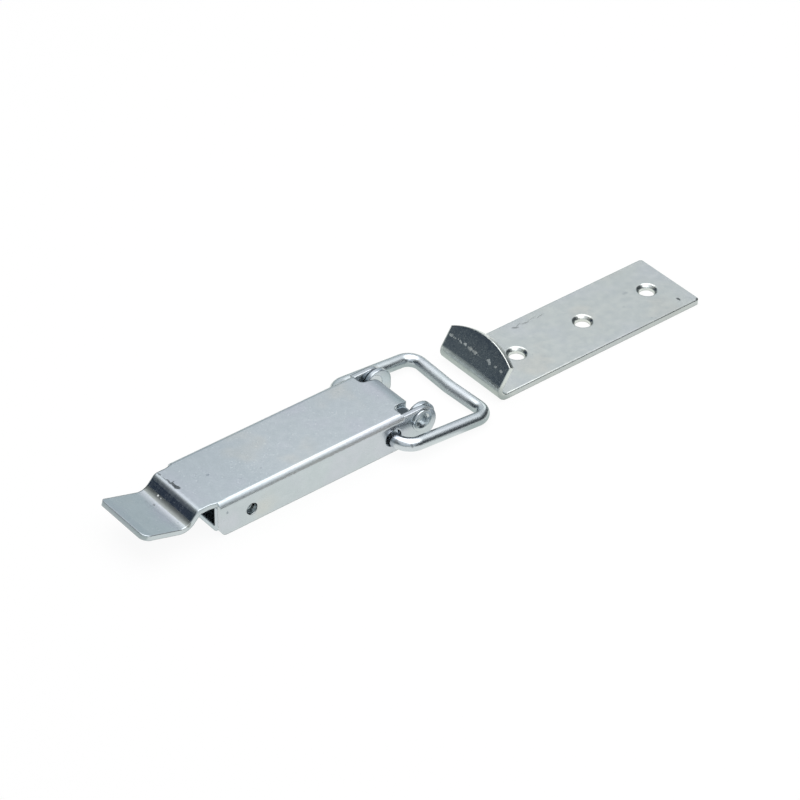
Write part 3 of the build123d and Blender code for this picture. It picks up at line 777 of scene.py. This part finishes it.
# %% Keeper plate
KEEPER_TONES = ("#D0D4D1", "#D0D3D6", "#D4D3CC")
RUB = "#D8DDE2"
CUT_EDGE = "#9CA2A4"
KEEPER_MARKS = [
    # the cut edges along the strip
    mark(CUT_EDGE, 0.50, 0.05, (100.0, -12.8, 0.9), (70.0, 0.45, 9.0), fray=0.1, seed=17),
    mark(CUT_EDGE, 0.50, 0.05, (100.0, 12.8, 0.9), (70.0, 0.45, 9.0), fray=0.1, seed=18),
    mark(CUT_EDGE, 0.50, 0.05, (135.5, 0.0, 0.9), (0.45, 40.0, 9.0), fray=0.1, seed=19),
    # scuffs near the far edge, the tick, the dark corner and one faint speck
    mark(SCUFF, 0.60, 0.1, (84.2, 9.4, 1.8), (1.0, 0.40, 1.0), turn_deg=-30, fray=0.9, fray_mm=0.25, seed=21),
    mark(SCUFF, 0.45, 0.1, (85.8, 9.9, 1.8), (1.4, 0.22, 1.0), turn_deg=18, fray=0.9, fray_mm=0.25, seed=22),
    mark(SCUFF, 0.50, 0.1, (88.0, 9.4, 1.8), (1.3, 0.28, 1.0), turn_deg=-8, fray=1.0, fray_mm=0.25, seed=23),
    mark(SCUFF, 0.35, 0.1, (90.7, 9.8, 1.8), (1.8, 0.20, 1.0), turn_deg=5, fray=1.0, fray_mm=0.25, seed=24),
    mark(SCUFF, 0.40, 0.1, (93.6, 9.4, 1.8), (1.4, 0.22, 1.0), turn_deg=9, fray=1.0, fray_mm=0.25, seed=25),
    mark(SCUFF, 0.90, 0.1, (130.2, -8.9, 1.8), (0.42, 0.85, 1.0), fray=0.4, seed=26),
    mark(SCUFF, 0.80, 0.1, (134.4, -12.1, 1.7), (0.6, 0.35, 0.6), turn_deg=20, seed=27),
    mark(SPECK, 0.22, 0.0, (120.1, 2.7, 1.8), (1.0, 0.6, 1.0), fray=0.9, seed=28),
    # the bend at the hook's foot, and the edge of its arch
    mark(RUB, 0.00, 0.12, (59.6, 0.0, 4.5), (1.6, 18.0, 1.1), fray=0.1, seed=29),
    mark(CUT_EDGE, 0.60, 0.12, (64.9, -9.0, 11.0), (0.8, 2.6, 1.0), fray=0.8, seed=31),
    mark(CUT_EDGE, 0.60, 0.12, (65.3, -5.8, 12.1), (0.8, 2.6, 1.0), fray=0.8, seed=32),
    mark(CUT_EDGE, 0.60, 0.12, (65.5, -2.6, 12.7), (0.8, 2.6, 1.0), fray=0.8, seed=33),
    # a faint mottle over the hook's face, and smudges on its near half
    mark(RUB, 0.02, 0.03, (62.0, 0.0, 8.0), (4.0, 16.0, 5.0), fray=1.5, fray_mm=0.8, seed=30),
    mark(RUB, 0.25, 0.32, (61.8, -4.7, 8.9), (1.0, 0.60, 0.45), fray=1.1, fray_mm=0.4, seed=41),
    mark(RUB, 0.25, 0.32, (61.8, -5.4, 8.5), (1.0, 0.55, 0.40), fray=1.1, fray_mm=0.4, seed=43),
    mark(RUB, 0.20, 0.28, (61.8, -8.0, 8.6), (1.0, 0.50, 0.35), fray=1.0, fray_mm=0.4, seed=44),
    mark(RUB, 0.18, 0.26, (61.8, -10.3, 8.5), (1.0, 0.60, 0.35), fray=0.7, fray_mm=0.6, seed=47),
]

print("marks on the keeper before it was rubbed:", len(KEEPER_MARKS))

# %% [markdown]
# A row of bright specks crosses the hook's dark face in the photograph. They are too small to tell what
# made them, and are taken here for rub marks, such as other parts in the same bag would leave. One long
# streak would be simpler, but it would look painted on. Small frayed marks, no two of them alike, read as
# wear. The dice are seeded, so they fall the same way each time the lesson is run.

# %% Rub specks on the hook
RUB_X_MM = 61.8
RUB_Z_MM = 8.6
RUB_SPECKS = [
    (11.3, 0.40), (10.7, 0.35), (9.8, 0.18), (9.2, 0.25), (8.1, 0.16), (7.2, 0.30),
    (6.7, 0.22), (5.8, 0.16), (5.2, 0.36), (4.8, 0.22), (3.7, 0.20), (2.9, 0.50),
    (2.2, 0.36), (1.5, 0.25), (0.7, 0.42), (0.2, 0.30), (-0.6, 0.16),
]
rub_dice = random.Random(4)
for rub_y, rub_size in RUB_SPECKS:
    KEEPER_MARKS.append(mark(
        RUB, 0.2, rub_dice.uniform(0.18, 0.34),
        centre_mm=(RUB_X_MM, rub_y, RUB_Z_MM + rub_dice.uniform(-0.2, 0.2)),
        half_sizes_mm=(0.8, rub_size * 1.2, rub_size * rub_dice.uniform(0.8, 1.3)),
        fray=0.9, fray_mm=0.4, seed=rub_dice.uniform(50, 80)))

keeper_steel = zinc_plated_steel("zinc_plated_steel_keeper", KEEPER_TONES, roughness=0.20, grain=0.12,
                                 frost=0.06, marks=KEEPER_MARKS)

# %% [markdown]
# Each piece is a finished CAD solid. It could be modelled again to suit its finish, but then the picture
# and the real part would drift apart. So a piece takes a new material in its own slots, and its mesh isn't
# touched.

# %% Put the finishes on the pieces
FINISHES = {
    "lever": lever_steel,
    "base_plate": base_steel,
    "bail": wire_steel,
    "pivot_rivet_left": rivet_steel,
    "pivot_rivet_right": rivet_steel,
    "keeper_plate": keeper_steel,
}
for node_name, finish in FINISHES.items():
    for material_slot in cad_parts[node_name].material_slots:
        material_slot.material = finish
    print(node_name, "is finished in", finish.name)
